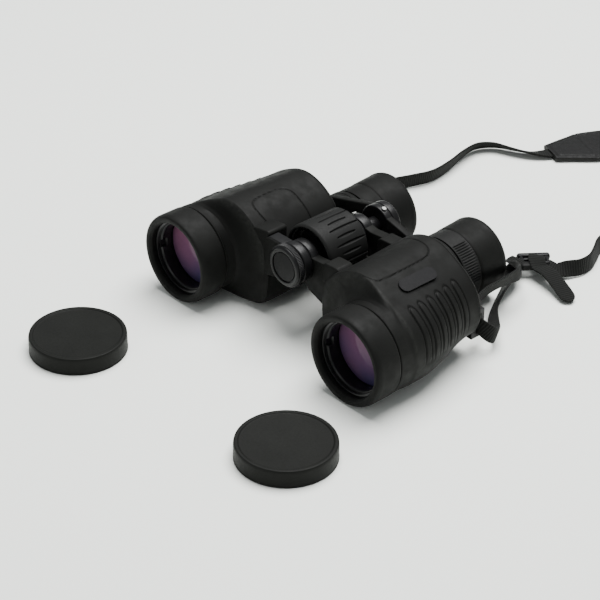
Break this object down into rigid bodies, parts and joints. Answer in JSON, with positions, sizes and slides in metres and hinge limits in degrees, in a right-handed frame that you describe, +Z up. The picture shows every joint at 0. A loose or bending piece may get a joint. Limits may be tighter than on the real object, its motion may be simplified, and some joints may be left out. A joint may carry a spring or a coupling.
{
  "type": "binoculars",
  "caption": "Folding Porro prism binoculars with rubber armour, centre focus wheel, dioptre ring, tripod socket cover, loose objective caps and padded neck strap.",
  "frame": {"origin": "centre of the footprint of the binoculars and their loose caps, on the table (the strap is left out)", "axes": "+Y from the objectives to the eyepieces along the optical axes, +X towards the user's left half, +Z up"},
  "size_m": [0.2096, 0.4808, 0.064],
  "materials": {
    "armour": "matte, finely textured dark grey",
    "hard_plastic": "satin black",
    "black_metal": "black anodised, satin",
    "steel": "plated",
    "coated_glass": "clear with a magenta coating",
    "prism_glass": "polished",
    "badge": "smooth, plain",
    "cap_plastic": "fine grained dark grey",
    "webbing": "ribbed flat weave",
    "leatherette": "grained, stitched edge"
  },
  "bodies": {
    "left_half": {"left_prism_housing": "armour", "left_rear_cover": "armour", "left_objective_bumper": "armour", "left_objective_cell": "black_metal", "left_lens_retainer": "black_metal", "left_objective_lens": "coated_glass", "left_front_prism": "prism_glass", "left_rear_prism": "prism_glass", "left_prism_shelf": "black_metal", "left_strap_lug": "hard_plastic", "left_name_plate": "badge", "front_hinge_pin": "steel", "rear_hinge_sleeve": "black_metal", "rear_lug_screw": "steel", "strap_near_loop": "webbing", "strap_near_run": "webbing", "strap_tail": "webbing", "strap_buckle": "hard_plastic", "neck_pad": "leatherette", "strap_far_run": "webbing"},
    "right_half": {"right_prism_housing": "armour", "right_rear_cover": "armour", "right_objective_bumper": "armour", "right_objective_cell": "black_metal", "right_lens_retainer": "black_metal", "right_objective_lens": "coated_glass", "right_front_prism": "prism_glass", "right_rear_prism": "prism_glass", "right_prism_shelf": "black_metal", "right_strap_lug": "hard_plastic", "strap_far_end": "webbing"},
    "focus_wheel": {"focus_wheel_core": "black_metal", "focus_wheel_grip": "armour"},
    "left_bridge": {"left_bridge_arm": "armour", "left_eyepiece_tube": "black_metal", "left_field_lens": "coated_glass", "left_eyepiece_collar": "hard_plastic", "focus_spindle": "steel", "bridge_cap": "hard_plastic", "bridge_hub_screw": "steel"},
    "right_bridge": {"right_bridge_arm": "armour", "right_eyepiece_tube": "black_metal", "right_field_lens": "coated_glass", "right_eyepiece_collar": "hard_plastic", "right_eyepiece_ring": "hard_plastic", "right_ocular_cell": "black_metal", "right_eye_lens": "coated_glass", "right_eyecup": "armour"},
    "dioptre_carrier": {"left_ocular_cell": "black_metal", "left_eye_lens": "coated_glass"},
    "dioptre_ring": {"left_dioptre_ring": "hard_plastic", "left_eyecup": "armour"},
    "tripod_stud": {"tripod_cover_stud": "steel"},
    "tripod_cover": {"tripod_cover": "hard_plastic", "tripod_cover_knurl": "hard_plastic", "tripod_cover_disc": "badge"},
    "left_cap": {"left_objective_cap": "cap_plastic"},
    "right_cap": {"right_objective_cap": "cap_plastic"}
  },
  "joints": [
    {"name": "fold", "type": "hinge", "parent": "left_half", "child": "right_half", "pos_m": [-0.00762, 0, 0.0455], "axis": [0, -1, 0], "range_deg": [0, 33]},
    {"name": "focus_turn", "type": "hinge", "parent": "left_half", "child": "focus_wheel", "pos_m": [-0.00762, 0, 0.0455], "axis": [0, 1, 0], "range_deg": [-150, 240]},
    {"name": "left_focus", "type": "slide", "parent": "left_half", "child": "left_bridge", "axis": [0, 1, 0], "range_m": [-0.00251, 0.00401]},
    {"name": "right_focus", "type": "slide", "parent": "right_half", "child": "right_bridge", "axis": [0, 1, 0], "range_m": [-0.00251, 0.00401]},
    {"name": "dioptre_travel", "type": "slide", "parent": "left_bridge", "child": "dioptre_carrier", "axis": [0, 1, 0], "range_m": [-0.00081, 0.00081]},
    {"name": "dioptre_turn", "type": "hinge", "parent": "dioptre_carrier", "child": "dioptre_ring", "pos_m": [0.02838, 0, 0.0228], "axis": [0, 1, 0], "range_deg": [-60, 60]},
    {"name": "cover_travel", "type": "slide", "parent": "left_half", "child": "tripod_stud", "axis": [0, -1, 0], "range_m": [0, 0.00255]},
    {"name": "cover_turn", "type": "hinge", "parent": "tripod_stud", "child": "tripod_cover", "pos_m": [-0.00762, 0, 0.0455], "axis": [0, -1, 0], "range_deg": [0, 720]},
    {"name": "left_cap_lift", "type": "slide", "parent": "left_half", "child": "left_cap", "axis": [0, 0, 1], "range_m": [0, 0.05]},
    {"name": "right_cap_lift", "type": "slide", "parent": "left_half", "child": "right_cap", "axis": [0, 0, 1], "range_m": [0, 0.05]}
  ],
  "couplings": [
    {"joint": "left_focus", "follows": "focus_turn", "m_per_rad": 0.00095493},
    {"joint": "right_focus", "follows": "focus_turn", "m_per_rad": 0.00095493},
    {"joint": "dioptre_travel", "follows": "dioptre_turn", "m_per_rad": 0.00076394},
    {"joint": "cover_travel", "follows": "cover_turn", "m_per_rad": 0.00020213}
  ]
}
